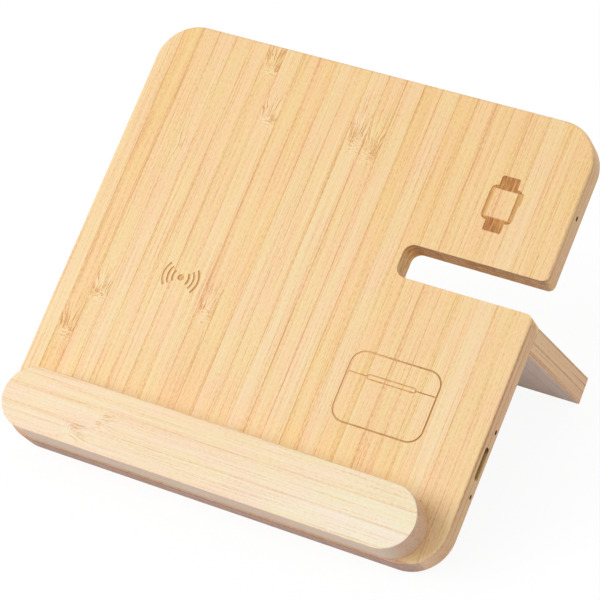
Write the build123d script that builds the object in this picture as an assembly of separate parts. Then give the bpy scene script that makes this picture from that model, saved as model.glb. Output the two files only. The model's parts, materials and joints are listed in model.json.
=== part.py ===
from build123d import *
import math
import os

os.makedirs("parts", exist_ok=True)

# A leaning board that charges a phone, a watch and an earbud case, in millimetres.
# Pieces are drawn in the board's own frame: x across from its left edge, y up the slope
# from its low edge, z out of its front face. Last of all they are leaned back and stood up.

# Board
board_width = 160.0
board_height = 152.0
board_thickness = 9.5
board_corner = 14.0
board_edge_round = 0.9
front_skin = 2.2
overrun = 1.0
hole_clearance = 0.05

# Strap slot, open at the right edge
slot_lip = 87.5
slot_gap = 11.4
slot_length = 49.0
slot_inner_round = 3.5
slot_mouth_round = 2.5

# Ledge bar on the front face
ledge_width = 21.2
ledge_thickness = 12.0
ledge_left_inset = 4.5
ledge_right_inset = 6.5
ledge_low_inset = 0.6
ledge_edge_round = 0.4
ledge_screw_shares = (0.12, 0.5, 0.88)
ledge_screw_length = 17.0
ledge_screw_head = 2.9
ledge_screw_shank = 1.6

# Engraved signs
engraving_depth = 0.25
wireless_x = 41.6
wireless_y = 66.4
wireless_dot_radius = 1.1
wireless_arc_radius = 2.95
wireless_arc_step = 1.75
wireless_arc_count = 3
wireless_arc_half_angle = 38.0
wireless_stroke = 0.75
watch_right_inset = 23.7
watch_y = 119.4
watch_sign_width = 10.9
watch_sign_height = 12.1
watch_sign_corner = 2.0
watch_glass_width = 7.8
watch_glass_height = 9.6
watch_strap_width = 6.4
watch_strap_length = 4.8
watch_strap_corner = 0.7
watch_crown_reach = 0.5
watch_crown_height = 4.4
watch_crown_rise = 3.0
earbuds_right_inset = 35.7
earbuds_y = 49.1
earbuds_sign_width = 31.4
earbuds_sign_height = 24.0
earbuds_sign_corner = 4.8
earbuds_stroke = 0.55
earbuds_seam_rise = 4.3
earbuds_seam_stroke = 0.42
earbuds_bar_width = 17.0
earbuds_bar_height = 1.5

# Back cover and its screws
cover_thickness = 2.0
cover_low = 20.0
cover_pocket_lap = 3.1
cover_top_inset = 12.0
cover_right_inset = 3.0
cover_arm_top = 66.0
cover_slot_margin = 3.2
cover_column_margin = 6.0
cover_corner = 4.0
cover_clearance = 0.15
cover_screw_inset = 3.0
cover_screw_length = 6.0
cover_screw_head = 1.9
cover_screw_shank = 1.0

# Phone coils, one above the other up the slope, on one ferrite plate
phone_coil_radius = 20.0
phone_coil_bore = 10.0
phone_coil_pitch = 28.0
coil_thickness = 1.1
ferrite_thickness = 0.8
ferrite_margin = 0.5
pocket_clearance = 0.5

# Earbuds coil and watch coil
earbuds_coil_radius = 14.0
earbuds_coil_bore = 6.5
watch_coil_radius = 12.0
watch_coil_bore = 5.5
watch_magnet_radius = 4.0

# Circuit boards
circuit_seat = 5.0
circuit_thickness = 1.0
circuit_bay_margin = 6.4
circuit_low = 25.5
circuit_right_inset = 3.4
circuit_height = 32.0
circuit_corner = 1.5
circuit_clearance = 0.3
watch_circuit_radius = 14.0
circuit_screw_inset = 3.2
circuit_screw_right_inset = 8.6
circuit_screw_head = 1.7
circuit_screw_head_height = 1.1
circuit_screw_shank = 0.8
circuit_screw_length = 3.3

# Parts on the circuit boards
inductor_side = 6.0
inductor_height = 2.3
inductor_corner = 1.2
inductor_right_inset = 2.0
inductor_low_inset = 1.2
inductor_pitch = 8.0
inductor_count = 2
bay_width = 8.6
bay_height = 23.8
bay_coil_lap = 2.7
bay_rise = 2.9
chip_side = 5.0
chip_height = 0.9
chip_left_inset = 14.0
chip_low_inset = 21.5
chip_pitch = 10.0
chip_count = 3
capacitor_width = 3.2
capacitor_length = 4.5
capacitor_height = 1.1
capacitor_left_inset = 18.0
capacitor_low_inset = 6.0
capacitor_pitch = 5.2
capacitor_count = 4

# USB-C inlet in the right edge
port_y = 38.75
port_depth = 5.0
port_length = 10.9
port_height = 3.4
port_corner = 1.2
shell_width = 8.94
shell_height = 3.16
shell_corner = 1.4
shell_length = 7.35
shell_wall = 0.3
shell_inset = 1.4
shell_back_wall = 0.5
shell_tab_length = 2.0
shell_tab_reach = 1.3
shell_tab_thickness = 0.25
shell_tab_setback = 3.6
shell_clearance = 0.2
contact_width = 6.7
contact_height = 0.7
contact_inset = 0.9

# Indicator lights
light_radius = 0.65
light_recess = 0.3
port_light_low_y = 28.1
port_light_high_y = 49.9
port_light_depth = 6.5
watch_light_y = 122.7
watch_light_depth = 4.0
diode_width = 2.0
diode_length = 0.9
port_diode_height = 1.0
watch_diode_height = 1.7
diode_gap = 0.2

# Leads inside
coil_lead_radius = 0.7
coil_lead_spacing = 2.0
coil_lead_low_inset = 26.5
coil_lead_lap = 2.0
channel_width = 6.0
channel_depth = 3.4
watch_lead_radius = 0.6
watch_lead_margin = 3.0
watch_lead_lap = 6.0
watch_lead_low_inset = 20.5
watch_lead_reach = 10.3
watch_lead_bend = 2.6
earbuds_lead_radius = 0.5
earbuds_lead_reach = 3.6
earbuds_lead_bend = 1.2
lead_gap = 0.1

# Folding leg
leg_inset = 2.0
leg_length = 68.8
leg_thickness = 9.5
leg_lean = 4.5
leg_edge_round = 0.4
leg_stop_gap = 0.1

# Butt hinges of the leg
hinge_width = 11.0
hinge_end_inset = 1.5
leaf_width = 10.0
leaf_thickness = 0.8
knuckle_radius = 1.6
knuckle_length = 3.0
knuckle_gap = 0.2
knuckle_clearance = 0.3
pin_radius = 0.7
pin_clearance = 0.05
hinge_screw_length = 5.5
hinge_screw_head = 1.6
hinge_screw_shank = 0.85
hinge_screw_row = 6.2
hinge_screw_shares = (0.25, 0.75)

# Screw tips and cross recesses, as shares of the screw's own size
screw_tip_share = 1.5
recess_length_share = 1.3
recess_width_share = 0.28
recess_depth_share = 0.3

# Levels along z
board_back = -board_thickness
cover_seat = board_back + cover_thickness
coil_floor = -front_skin
circuit_front = -circuit_seat
circuit_back = circuit_front - circuit_thickness

# Places that several pieces share
phone_x = wireless_x
phone_low_y = wireless_y
phone_high_y = phone_low_y + phone_coil_pitch
watch_x = board_width - watch_right_inset
earbuds_x = board_width - earbuds_right_inset
bay_right = earbuds_x - earbuds_coil_radius + bay_coil_lap
bay_left = bay_right - bay_width
bay_top = earbuds_y + bay_rise
bay_low = bay_top - bay_height
circuit_left = bay_left - circuit_bay_margin
circuit_right = board_width - circuit_right_inset
circuit_top = circuit_low + circuit_height
coil_lead_y = circuit_low + coil_lead_low_inset
watch_lead_x = circuit_left - watch_lead_margin
watch_lead_start_x = circuit_left + watch_lead_lap
watch_lead_start_y = circuit_low + watch_lead_low_inset
watch_lead_end_x = watch_x - watch_lead_reach
pocket_right = circuit_right + circuit_clearance
phone_pocket_radius = phone_coil_radius + ferrite_margin + pocket_clearance
ledge_length = board_width - ledge_left_inset - ledge_right_inset
ledge_y = ledge_low_inset + ledge_width / 2
slot_end = board_width - slot_length
slot_top = slot_lip + slot_gap
cover_left = phone_x - phone_pocket_radius - cover_pocket_lap
cover_right = board_width - cover_right_inset
cover_top = board_height - cover_top_inset
cover_column_right = slot_end - cover_column_margin
cover_slot_top = slot_top + cover_slot_margin
hinge_offset = knuckle_radius - leaf_thickness
hinge_lefts = {
    "left": leg_inset + hinge_end_inset,
    "right": board_width - leg_inset - hinge_end_inset - hinge_width,
}


# Small helpers
def slab(sketch, low, high):
    return Pos(0, 0, low) * extrude(sketch, high - low)


def rectangle(left, low, right, top):
    return Pos((left + right) / 2, (low + top) / 2) * Rectangle(right - left, top - low)


def block(low, high):
    size = [b - a for a, b in zip(low, high)]
    middle = [(a + b) / 2 for a, b in zip(low, high)]
    return Pos(*middle) * Box(*size)


def plate(left, low, right, top, corner):
    middle = Pos((left + right) / 2, (low + top) / 2)
    return middle * RectangleRounded(right - left, top - low, corner)


def disc(x, y, radius):
    return Pos(x, y) * Circle(radius)


def rod(x_low, x_high, y, z, radius):
    middle = Pos((x_low + x_high) / 2, y, z)
    return middle * Rot(0, 90, 0) * Cylinder(radius, x_high - x_low)


def from_back(sketch, floor):
    return slab(sketch, board_back - overrun, floor)


def ring(x, y, outer, inner, front):
    return slab(disc(x, y, outer) - disc(x, y, inner), front - coil_thickness, front)


def group(shapes):
    return Compound([solid for piece in shapes for solid in piece.solids()])


# Screws point along +z from the outer face of their head at z = 0
def turned(points):
    return revolve(make_face(Polyline(*[(r, 0, z) for r, z in points], close=True)), Axis.Z)


def cross_recess(head):
    length = head * recess_length_share
    width = head * recess_width_share
    depth = head * recess_depth_share
    bar = Box(length, width, depth + depth)
    return bar + Rot(0, 0, 90) * bar


def countersunk(head, shank, length, clearance=0.0):
    tip = shank * screw_tip_share
    wide = head + clearance
    thin = shank + clearance
    return turned([
        (0, 0),
        (wide, 0),
        (thin, wide - thin),
        (thin, length - tip),
        (0, length + clearance),
    ])


def wood_screw(head, shank, length):
    return countersunk(head, shank, length) - cross_recess(head)


def pan_screw(head, head_height, shank, length):
    tip = shank * screw_tip_share
    body = turned([
        (0, -head_height),
        (head, -head_height),
        (head, 0),
        (shank, 0),
        (shank, length - tip),
        (0, length),
    ])
    return body - Pos(0, 0, -head_height) * cross_recess(head)


# Outline of the back cover: a column left of the slot and an arm below and above it
def cover_outline(grow):
    left = cover_left - grow
    low = cover_low - grow
    top = cover_top + grow
    right = cover_right + grow
    column = cover_column_right + grow
    arm_top = cover_arm_top + grow
    arm_low = cover_slot_top - grow
    corners = Polyline(
        (left, low), (right, low), (right, arm_top), (column, arm_top),
        (column, arm_low), (right, arm_low), (right, top), (left, top), close=True,
    )
    face = make_face(corners)
    return fillet(face.vertices(), cover_corner)


def cover_screw_places():
    inset = cover_screw_inset
    left = cover_left + inset
    low = cover_low + inset
    right = cover_right - inset
    top = cover_top - inset
    middle = (cover_left + cover_column_right) / 2
    return [
        (left, low), (middle, low), (right, low), (right, cover_arm_top - inset),
        (cover_column_right - inset, slot_lip - inset), (right, cover_slot_top + inset),
        (right, top), (middle + inset, top), (left, top),
    ]


def circuit_screw_places():
    left = circuit_left + circuit_screw_inset
    right = circuit_right - circuit_screw_right_inset
    low = circuit_low + circuit_screw_inset
    top = circuit_top - circuit_screw_inset
    return [(left, low), (left, top), (right, low), (right, top)]


def ledge_screw_places():
    return [(ledge_left_inset + ledge_length * share, ledge_y) for share in ledge_screw_shares]


# Outline of the phone coils' pocket and ferrite plate
def phone_outline(radius):
    middle = Pos(phone_x, (phone_low_y + phone_high_y) / 2)
    return middle * Rot(0, 0, 90) * SlotCenterToCenter(phone_coil_pitch, radius + radius)


# Signs burnt into the front face, as flat sketches
def wireless_sign():
    sign = disc(wireless_x, wireless_y, wireless_dot_radius)
    half_angle = wireless_arc_half_angle
    for number in range(wireless_arc_count):
        radius = wireless_arc_radius + wireless_arc_step * number
        for middle_angle in (0, 180):
            start = middle_angle - half_angle
            line = CenterArc((wireless_x, wireless_y), radius, start, half_angle + half_angle)
            sign += trace(line, wireless_stroke)
    return sign


def watch_sign():
    middle = Pos(watch_x, watch_y)
    case = middle * RectangleRounded(watch_sign_width, watch_sign_height, watch_sign_corner)
    glass = middle * Rectangle(watch_glass_width, watch_glass_height)
    strap_height = watch_glass_height + watch_strap_length + watch_strap_length
    straps = middle * RectangleRounded(watch_strap_width, strap_height, watch_strap_corner)
    crown_middle = Pos(watch_x + watch_sign_width / 2, watch_y + watch_crown_rise)
    crown = crown_middle * SlotOverall(
        watch_crown_height, watch_crown_reach + watch_crown_reach, rotation=90
    )
    return case + straps + crown - glass


def outline_sketch(width, height, corner, stroke):
    outer = RectangleRounded(width + stroke, height + stroke, corner + stroke / 2)
    return outer - RectangleRounded(width - stroke, height - stroke, corner - stroke / 2)


def earbuds_sign():
    case = outline_sketch(
        earbuds_sign_width, earbuds_sign_height, earbuds_sign_corner, earbuds_stroke
    )
    bar_corner = earbuds_bar_height / 2
    bar_outer = SlotOverall(
        earbuds_bar_width + earbuds_seam_stroke, earbuds_bar_height + earbuds_seam_stroke
    )
    bar_inner = SlotOverall(
        earbuds_bar_width - earbuds_seam_stroke, earbuds_bar_height - earbuds_seam_stroke
    )
    seam = Rectangle(earbuds_sign_width, earbuds_seam_stroke)
    seam -= Rectangle(earbuds_bar_width - bar_corner, earbuds_bar_height)
    rise = Pos(0, earbuds_seam_rise)
    return Pos(earbuds_x, earbuds_y) * (case + rise * (seam + (bar_outer - bar_inner)))


# Strap slot, with rounded inner corners and rounded corners at its mouth
def slot_outline():
    reach = slot_length + slot_mouth_round
    inner = plate(slot_end, slot_lip, slot_end + reach, slot_top, slot_inner_round)
    square = slot_mouth_round
    mouth = Pos(board_width, (slot_lip + slot_top) / 2) * Rectangle(
        square + square, slot_gap + square + square
    )
    for y in (slot_lip - square, slot_top + square):
        mouth -= disc(board_width - square, y, square)
    return inner + mouth


# Pin frame of the hinges: origin on the hinge line, the board's back at z = hinge_offset
lean = math.radians(leg_lean)


def leg_root_level(y):
    return (hinge_offset - leg_stop_gap - y * math.sin(lean)) / math.cos(lean)


leg_far_side = hinge_offset + leg_thickness
leg_tip = leg_root_level(leg_far_side) - leg_length
pin_y = slot_lip - leg_far_side * math.cos(lean) + leg_root_level(leg_far_side) * math.sin(lean)
pin_z = board_back - hinge_offset
at_pin = Pos(0, pin_y, pin_z)
leg_place = at_pin * Rot(leg_lean, 0, 0)


def swap_sides(shape):
    return mirror(shape, Plane((0, 0, 0), z_dir=(0, 1, -1)))


def leaf_holes(left):
    return [(left + hinge_width * share, -hinge_screw_row) for share in hinge_screw_shares]


def hinge_leaf(left, segments):
    back_edge = -knuckle_radius - knuckle_gap
    solid = block((left, -leaf_width, hinge_offset), (left + hinge_width, back_edge, knuckle_radius))
    for low, high in segments:
        strip = block((low, back_edge, hinge_offset), (high, 0, knuckle_radius))
        solid += strip + rod(low, high, 0, 0, knuckle_radius)
    solid -= rod(left - overrun, left + hinge_width + overrun, 0, 0, pin_radius + pin_clearance)
    for x, y in leaf_holes(left):
        solid -= Pos(x, y, hinge_offset) * countersunk(
            hinge_screw_head, hinge_screw_shank, hinge_screw_length, hole_clearance
        )
    return solid


def outer_segments(left):
    right = left + hinge_width
    return [(left, left + knuckle_length), (right - knuckle_length, right)]


def middle_segment(left):
    margin = knuckle_length + knuckle_gap
    return [(left + margin, left + hinge_width - margin)]


# Room for one leaf, the barrel and the screws in the wood that carries the leaf
def hinge_room(left):
    side = hole_clearance
    reach = knuckle_radius + knuckle_clearance
    low_x = left - side
    high_x = left + hinge_width + side
    open_side = hinge_offset - overrun
    room = block((low_x, -leaf_width - side, open_side), (high_x, 0, knuckle_radius))
    room += block((low_x, -reach, open_side), (high_x, reach, reach))
    for x, y in leaf_holes(left):
        room += Pos(x, y, hinge_offset) * countersunk(
            hinge_screw_head, hinge_screw_shank, hinge_screw_length, hole_clearance
        )
    return room


def hinge_screws(left):
    return [
        Pos(x, y, hinge_offset)
        * wood_screw(hinge_screw_head, hinge_screw_shank, hinge_screw_length)
        for x, y in leaf_holes(left)
    ]


# Panel board
def panel_board():
    solid = slab(plate(0, 0, board_width, board_height, board_corner), board_back, 0)
    rims = solid.edges().group_by(Axis.Z)
    solid = fillet(rims[0] + rims[-1], board_edge_round)
    solid -= slab(slot_outline(), board_back - overrun, overrun)

    solid -= from_back(cover_outline(cover_clearance), cover_seat)
    solid -= coil_pockets()
    solid -= circuit_pockets()
    solid -= lead_channels()
    solid -= inlet_room()
    solid -= light_holes()

    for x, y in cover_screw_places():
        solid -= Pos(x, y, board_back) * countersunk(
            cover_screw_head, cover_screw_shank, cover_screw_length, hole_clearance
        )
    for x, y in circuit_screw_places():
        solid -= Pos(x, y, circuit_back) * Cylinder(
            circuit_screw_shank + hole_clearance,
            circuit_screw_length + hole_clearance,
            align=(Align.CENTER, Align.CENTER, Align.MIN),
        )
    for x, y in ledge_screw_places():
        solid -= Pos(x, y, board_back) * countersunk(
            ledge_screw_head, ledge_screw_shank, ledge_screw_length, hole_clearance
        )
    for left in hinge_lefts.values():
        solid -= at_pin * hinge_room(left)

    signs = wireless_sign() + watch_sign() + earbuds_sign()
    return solid - slab(signs, -engraving_depth, overrun)


def coil_pockets():
    earbuds_radius = earbuds_coil_radius + pocket_clearance
    watch_radius = watch_coil_radius + ferrite_margin + pocket_clearance
    pockets = from_back(phone_outline(phone_pocket_radius), coil_floor)
    pockets += from_back(disc(earbuds_x, earbuds_y, earbuds_radius), coil_floor)
    pockets += from_back(disc(watch_x, watch_y, watch_radius), coil_floor)
    pockets += from_back(rectangle(bay_left, bay_low, bay_right, bay_top), coil_floor)
    return pockets


def circuit_pockets():
    watch_radius = watch_circuit_radius + circuit_clearance
    main = from_back(circuit_outline(circuit_clearance), circuit_front)
    return main + from_back(disc(watch_x, watch_y, watch_radius), circuit_front)


def circuit_outline(grow):
    return plate(
        circuit_left - grow, circuit_low - grow, circuit_right + grow, circuit_top + grow,
        circuit_corner,
    )


def lead_channels():
    half = channel_width / 2
    floor = -channel_depth
    across = block((phone_x, coil_lead_y - half, board_back - overrun),
                   (circuit_left + coil_lead_lap + lead_gap, coil_lead_y + half, floor))
    up = block((watch_lead_x - half, watch_lead_start_y - half, board_back - overrun),
               (watch_lead_x + half, watch_y + half, floor))
    to_watch = block((watch_lead_x, watch_y - half, board_back - overrun),
                     (watch_x, watch_y + half, floor))
    return across + up + to_watch


def inlet_room():
    half = shell_width / 2 + shell_tab_reach + shell_clearance
    room_left = board_width - shell_inset - shell_length - shell_clearance
    room_front = -port_depth + shell_height / 2 + shell_clearance
    room = block((room_left, port_y - half, board_back - overrun),
                 (pocket_right, port_y + half, room_front))
    mouth_start = pocket_right - overrun
    mouth_length = board_width - pocket_right + overrun + overrun
    mouth_plane = Plane((mouth_start, port_y, -port_depth), x_dir=(0, 1, 0), z_dir=(1, 0, 0))
    mouth = RectangleRounded(port_length, port_height, port_corner)
    return room + extrude(mouth_plane * mouth, mouth_length)


def watch_diode_right():
    rise = watch_light_y - watch_y + diode_width / 2
    return watch_x + math.sqrt(watch_circuit_radius ** 2 - rise ** 2)


def light_holes():
    radius = light_radius + hole_clearance
    out = board_width + overrun
    holes = Part()
    for y in (port_light_low_y, port_light_high_y):
        holes += rod(pocket_right - overrun, out, y, -port_light_depth, radius)
    start = watch_diode_right() - diode_length - diode_gap
    holes += rod(start, out, watch_light_y, -watch_light_depth, radius)
    half = diode_width / 2 + diode_gap
    top = circuit_front + watch_diode_height + diode_gap
    holes += block((start, watch_light_y - half, circuit_front - overrun),
                   (watch_diode_right() + diode_gap, watch_light_y + half, top))
    return holes


# Ledge bar
def ledge_bar():
    middle = Pos(ledge_left_inset + ledge_length / 2, ledge_y)
    solid = slab(middle * SlotOverall(ledge_length, ledge_width), 0, ledge_thickness)
    top_rim = solid.edges().group_by(Axis.Z)[-1]
    solid = fillet(top_rim, ledge_edge_round)
    for x, y in ledge_screw_places():
        solid -= Pos(x, y, board_back) * countersunk(
            ledge_screw_head, ledge_screw_shank, ledge_screw_length, hole_clearance
        )
    return solid


def ledge_screws():
    screw = wood_screw(ledge_screw_head, ledge_screw_shank, ledge_screw_length)
    return group(Pos(x, y, board_back) * screw for x, y in ledge_screw_places())


# Back cover
def back_cover():
    solid = slab(cover_outline(0), board_back, cover_seat)
    for x, y in cover_screw_places():
        solid -= Pos(x, y, board_back) * countersunk(
            cover_screw_head, cover_screw_shank, cover_screw_length, hole_clearance
        )
    return solid


def cover_screws():
    screw = wood_screw(cover_screw_head, cover_screw_shank, cover_screw_length)
    return group(Pos(x, y, board_back) * screw for x, y in cover_screw_places())


# Phone charging coils
def lower_phone_coil():
    return ring(phone_x, phone_low_y, phone_coil_radius, phone_coil_bore, coil_floor)


def upper_phone_coil():
    front = coil_floor - coil_thickness
    return ring(phone_x, phone_high_y, phone_coil_radius, phone_coil_bore, front)


def phone_ferrite():
    front = coil_floor - coil_thickness - coil_thickness
    return slab(phone_outline(phone_coil_radius + ferrite_margin), front - ferrite_thickness, front)


# Earbuds charging coil
def earbuds_coil():
    return ring(earbuds_x, earbuds_y, earbuds_coil_radius, earbuds_coil_bore, coil_floor)


def earbuds_ferrite():
    front = coil_floor - coil_thickness
    return slab(disc(earbuds_x, earbuds_y, earbuds_coil_radius), front - ferrite_thickness, front)


# Watch charging coil
def watch_coil():
    return ring(watch_x, watch_y, watch_coil_radius, watch_coil_bore, coil_floor)


def watch_magnet():
    return slab(disc(watch_x, watch_y, watch_magnet_radius), coil_floor - coil_thickness, coil_floor)


def watch_ferrite():
    front = coil_floor - coil_thickness
    radius = watch_coil_radius + ferrite_margin
    return slab(disc(watch_x, watch_y, radius), front - ferrite_thickness, front)


# Circuit boards and what is on them
def main_circuit_board():
    notch_half = shell_width / 2 + shell_clearance
    notch_left = board_width - shell_inset - shell_length - shell_clearance
    solid = slab(circuit_outline(0), circuit_back, circuit_front)
    solid -= block((notch_left, port_y - notch_half, circuit_back - overrun),
                   (circuit_right + overrun, port_y + notch_half, circuit_front + overrun))
    for x, y in circuit_screw_places():
        solid -= Pos(x, y, circuit_back + circuit_thickness / 2) * Cylinder(
            circuit_screw_shank + hole_clearance, circuit_thickness + overrun
        )
    return solid


def circuit_screws():
    screw = pan_screw(
        circuit_screw_head, circuit_screw_head_height, circuit_screw_shank, circuit_screw_length
    )
    return group(Pos(x, y, circuit_back) * screw for x, y in circuit_screw_places())


def power_inductors():
    base = RectangleRounded(inductor_side, inductor_side, inductor_corner)
    x = bay_right - inductor_right_inset - inductor_side / 2
    low_y = bay_low + inductor_low_inset + inductor_side / 2
    places = [Pos(x, low_y + inductor_pitch * number) for number in range(inductor_count)]
    top = circuit_front + inductor_height
    return group(slab(place * base, circuit_front, top) for place in places)


def controller_chips():
    base = Rectangle(chip_side, chip_side)
    first_x = circuit_left + chip_left_inset
    y = circuit_low + chip_low_inset
    places = [Pos(first_x + chip_pitch * number, y) for number in range(chip_count)]
    low = circuit_back - chip_height
    return group(slab(place * base, low, circuit_back) for place in places)


def resonance_capacitors():
    base = Rectangle(capacitor_width, capacitor_length)
    first_x = circuit_left + capacitor_left_inset
    y = circuit_low + capacitor_low_inset
    places = [Pos(first_x + capacitor_pitch * number, y) for number in range(capacitor_count)]
    low = circuit_back - capacitor_height
    return group(slab(place * base, low, circuit_back) for place in places)


def watch_circuit_board():
    return slab(disc(watch_x, watch_y, watch_circuit_radius), circuit_back, circuit_front)


# USB-C inlet
inlet_plane = Plane(
    (board_width - shell_inset, port_y, -port_depth), x_dir=(0, 1, 0), z_dir=(1, 0, 0)
)


def inlet_shell():
    outer = RectangleRounded(shell_width, shell_height, shell_corner)
    walls = shell_wall + shell_wall
    inner = RectangleRounded(shell_width - walls, shell_height - walls, shell_corner - shell_wall)
    solid = extrude(inlet_plane * outer, -shell_length)
    solid -= extrude(inlet_plane * inner, -(shell_length - shell_back_wall))
    tab_right = board_width - shell_inset - shell_tab_setback
    for side in (-1, 1):
        near = port_y + side * (shell_width / 2 - shell_wall)
        far = port_y + side * (shell_width / 2 + shell_tab_reach)
        solid += block((tab_right - shell_tab_length, min(near, far), circuit_front),
                       (tab_right, max(near, far), circuit_front + shell_tab_thickness))
    return solid


def inlet_contacts():
    start = board_width - shell_inset - shell_length + shell_back_wall
    end = board_width - shell_inset - contact_inset
    half = contact_width / 2
    middle = -port_depth
    return block((start, port_y - half, middle - contact_height / 2),
                 (end, port_y + half, middle + contact_height / 2))


# Indicator lights
def indicator_diodes():
    half = diode_width / 2
    right = circuit_right
    diodes = [
        block((right - diode_length, y - half, circuit_back - port_diode_height),
              (right, y + half, circuit_back))
        for y in (port_light_low_y, port_light_high_y)
    ]
    right = watch_diode_right()
    diodes.append(block((right - diode_length, watch_light_y - half, circuit_front),
                        (right, watch_light_y + half, circuit_front + watch_diode_height)))
    return group(diodes)


def port_light_pipes():
    start = circuit_right + diode_gap
    end = board_width - light_recess
    return group(
        rod(start, end, y, -port_light_depth, light_radius)
        for y in (port_light_low_y, port_light_high_y)
    )


def watch_light_pipe():
    start = watch_diode_right() + diode_gap
    return rod(start, board_width - light_recess, watch_light_y, -watch_light_depth, light_radius)


# Leads
def lead(points, bends, radius):
    path = FilletPolyline(*points, radius=bends)
    start = Plane(path @ 0, z_dir=path % 0)
    return sweep(start * Circle(radius), path)


def phone_coil_leads():
    z = circuit_front + coil_lead_radius
    rim = phone_coil_radius + ferrite_margin
    leads = []
    for side in (-1, 1):
        y = coil_lead_y + side * coil_lead_spacing / 2
        below_coil = phone_low_y - y - coil_lead_radius
        start = phone_x + math.sqrt(rim ** 2 - below_coil ** 2) + lead_gap
        leads.append(rod(start, circuit_left + coil_lead_lap, y, z, coil_lead_radius))
    return group(leads)


def earbuds_coil_lead():
    z = coil_floor - coil_thickness / 2
    start = earbuds_x - earbuds_coil_radius - lead_gap
    end = start - earbuds_lead_reach
    points = [(start, earbuds_y, z), (end, earbuds_y, z), (end, earbuds_y, circuit_front)]
    return lead(points, earbuds_lead_bend, earbuds_lead_radius)


def watch_lead():
    z = circuit_back - watch_lead_radius
    points = [
        (watch_lead_start_x, watch_lead_start_y, z), (watch_lead_x, watch_lead_start_y, z),
        (watch_lead_x, watch_y, z), (watch_lead_end_x, watch_y, z),
    ]
    return lead(points, watch_lead_bend, watch_lead_radius)


# Leg board, its root bevelled so that it butts against the panel's back when open
def leg_board():
    near = hinge_offset
    far = leg_far_side
    profile = Polyline(
        (0, near, leg_root_level(near)), (0, far, leg_root_level(far)),
        (0, far, leg_tip), (0, near, leg_tip), close=True,
    )
    length = board_width - leg_inset - leg_inset
    solid = Pos(leg_inset, 0, 0) * extrude(make_face(profile), length, dir=(1, 0, 0))
    solid = fillet(solid.edges(), leg_edge_round)
    for left in hinge_lefts.values():
        solid -= swap_sides(hinge_room(left))
    return leg_place * solid


# Every piece by name, in the board's frame
pieces = {
    "panel_board": panel_board(),
    "ledge_bar": ledge_bar(),
    "ledge_screws": ledge_screws(),
    "back_cover": back_cover(),
    "cover_screws": cover_screws(),
    "lower_phone_coil": lower_phone_coil(),
    "upper_phone_coil": upper_phone_coil(),
    "phone_ferrite": phone_ferrite(),
    "phone_coil_leads": phone_coil_leads(),
    "earbuds_coil": earbuds_coil(),
    "earbuds_ferrite": earbuds_ferrite(),
    "earbuds_coil_lead": earbuds_coil_lead(),
    "watch_coil": watch_coil(),
    "watch_magnet": watch_magnet(),
    "watch_ferrite": watch_ferrite(),
    "watch_circuit_board": watch_circuit_board(),
    "watch_lead": watch_lead(),
    "main_circuit_board": main_circuit_board(),
    "circuit_screws": circuit_screws(),
    "power_inductors": power_inductors(),
    "controller_chips": controller_chips(),
    "resonance_capacitors": resonance_capacitors(),
    "inlet_shell": inlet_shell(),
    "inlet_contacts": inlet_contacts(),
    "indicator_diodes": indicator_diodes(),
    "port_light_pipes": port_light_pipes(),
    "watch_light_pipe": watch_light_pipe(),
    "leg_board": leg_board(),
}
panel_screws = []
leg_screws = []
for side, left in hinge_lefts.items():
    pin = rod(left, left + hinge_width, 0, 0, pin_radius)
    pieces[side + "_hinge_panel_leaf"] = at_pin * hinge_leaf(left, outer_segments(left))
    pieces[side + "_hinge_leg_leaf"] = leg_place * swap_sides(
        hinge_leaf(left, middle_segment(left))
    )
    pieces[side + "_hinge_pin"] = at_pin * pin
    panel_screws += [at_pin * screw for screw in hinge_screws(left)]
    leg_screws += [leg_place * swap_sides(screw) for screw in hinge_screws(left)]
pieces["hinge_panel_screws"] = group(panel_screws)
pieces["hinge_leg_screws"] = group(leg_screws)

# The board leans back until its low back edge and the leg's tip stand on one level.
# Both edges are rounded, so their rounding centres differ in height by their radii.
board_foot = Vector(0, board_edge_round, board_back + board_edge_round)
leg_foot = leg_place * Pos(0, hinge_offset + leg_edge_round, leg_tip + leg_edge_round)
stance = leg_foot.position - board_foot
stance_length = math.hypot(stance.Y, stance.Z)
foot_rise = math.asin((leg_edge_round - board_edge_round) / stance_length)
tilt = foot_rise - math.atan2(stance.Z, stance.Y)
lean_back = Rot(math.degrees(tilt), 0, 0)
leaning = {name: lean_back * piece for name, piece in pieces.items()}

# Origin under the middle of the stand's box
box = group(leaning.values()).bounding_box()
stand_up = Pos(-box.center().X, -box.center().Y, -box.min.Z)
for name, piece in leaning.items():
    export_step(stand_up * piece, "parts/" + name + ".step")

place = stand_up * lean_back
hinge_line = (place * at_pin).position
print("tilt", round(math.degrees(tilt), 4))
print("box", [round(v, 3) for v in (box.size.X, box.size.Y, box.size.Z)])
print("hinge line", [round(v, 4) for v in hinge_line])
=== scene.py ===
import json
import math
from dataclasses import dataclass

import bpy
from mathutils import Matrix, Vector


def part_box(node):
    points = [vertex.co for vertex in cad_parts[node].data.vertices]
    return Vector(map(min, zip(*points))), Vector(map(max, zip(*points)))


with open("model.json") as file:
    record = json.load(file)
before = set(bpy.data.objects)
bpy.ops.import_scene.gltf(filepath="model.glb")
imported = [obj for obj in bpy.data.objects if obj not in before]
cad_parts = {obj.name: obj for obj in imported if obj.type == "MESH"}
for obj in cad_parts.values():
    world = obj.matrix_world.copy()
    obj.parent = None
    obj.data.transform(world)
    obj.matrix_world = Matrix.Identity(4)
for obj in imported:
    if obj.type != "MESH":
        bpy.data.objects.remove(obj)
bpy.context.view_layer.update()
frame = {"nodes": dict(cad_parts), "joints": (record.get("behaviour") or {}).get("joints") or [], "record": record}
nodes = frame["nodes"]
record = frame["record"]

# Materials work in millimetres
MM = 1000.0

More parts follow.
